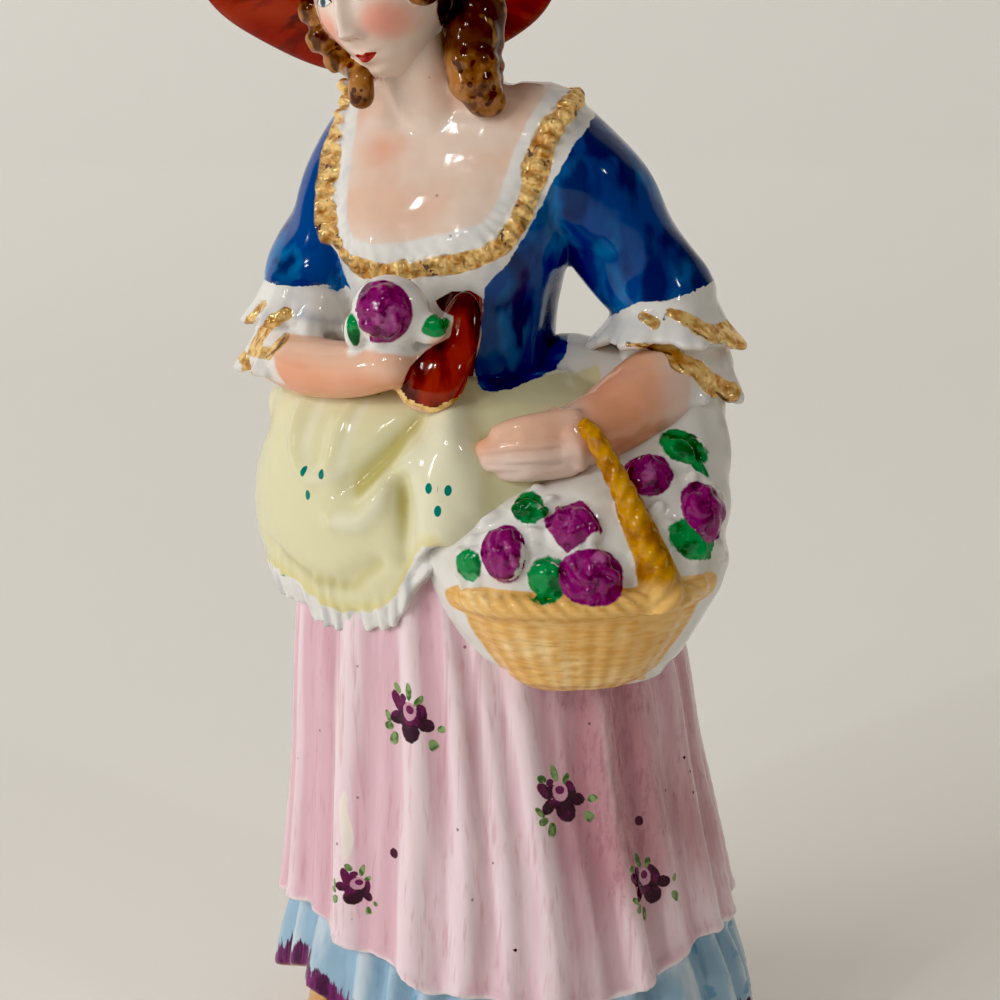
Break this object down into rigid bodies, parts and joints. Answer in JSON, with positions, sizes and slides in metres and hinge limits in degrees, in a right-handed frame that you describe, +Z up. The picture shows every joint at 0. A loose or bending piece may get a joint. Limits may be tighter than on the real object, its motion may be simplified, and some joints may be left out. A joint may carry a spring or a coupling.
{
  "type": "porcelain lady figurine",
  "caption": "Standing lady in a folded skirt, jacket and wide hat, holding a flower basket and a posy, glazed porcelain on a low base.",
  "frame": {"origin": "centre of the flat underside of the low base", "axes": "+Z up through the figure, -Y the way she faces, +X towards her left hand and the basket"},
  "size_m": [0.0933, 0.0744, 0.2105],
  "materials": {
    "glazed_porcelain": "glossy clear glaze over hand-painted colours and worn gold"
  },
  "bodies": {
    "root": {"lady_figurine": "glazed_porcelain"}
  },
  "joints": []
}
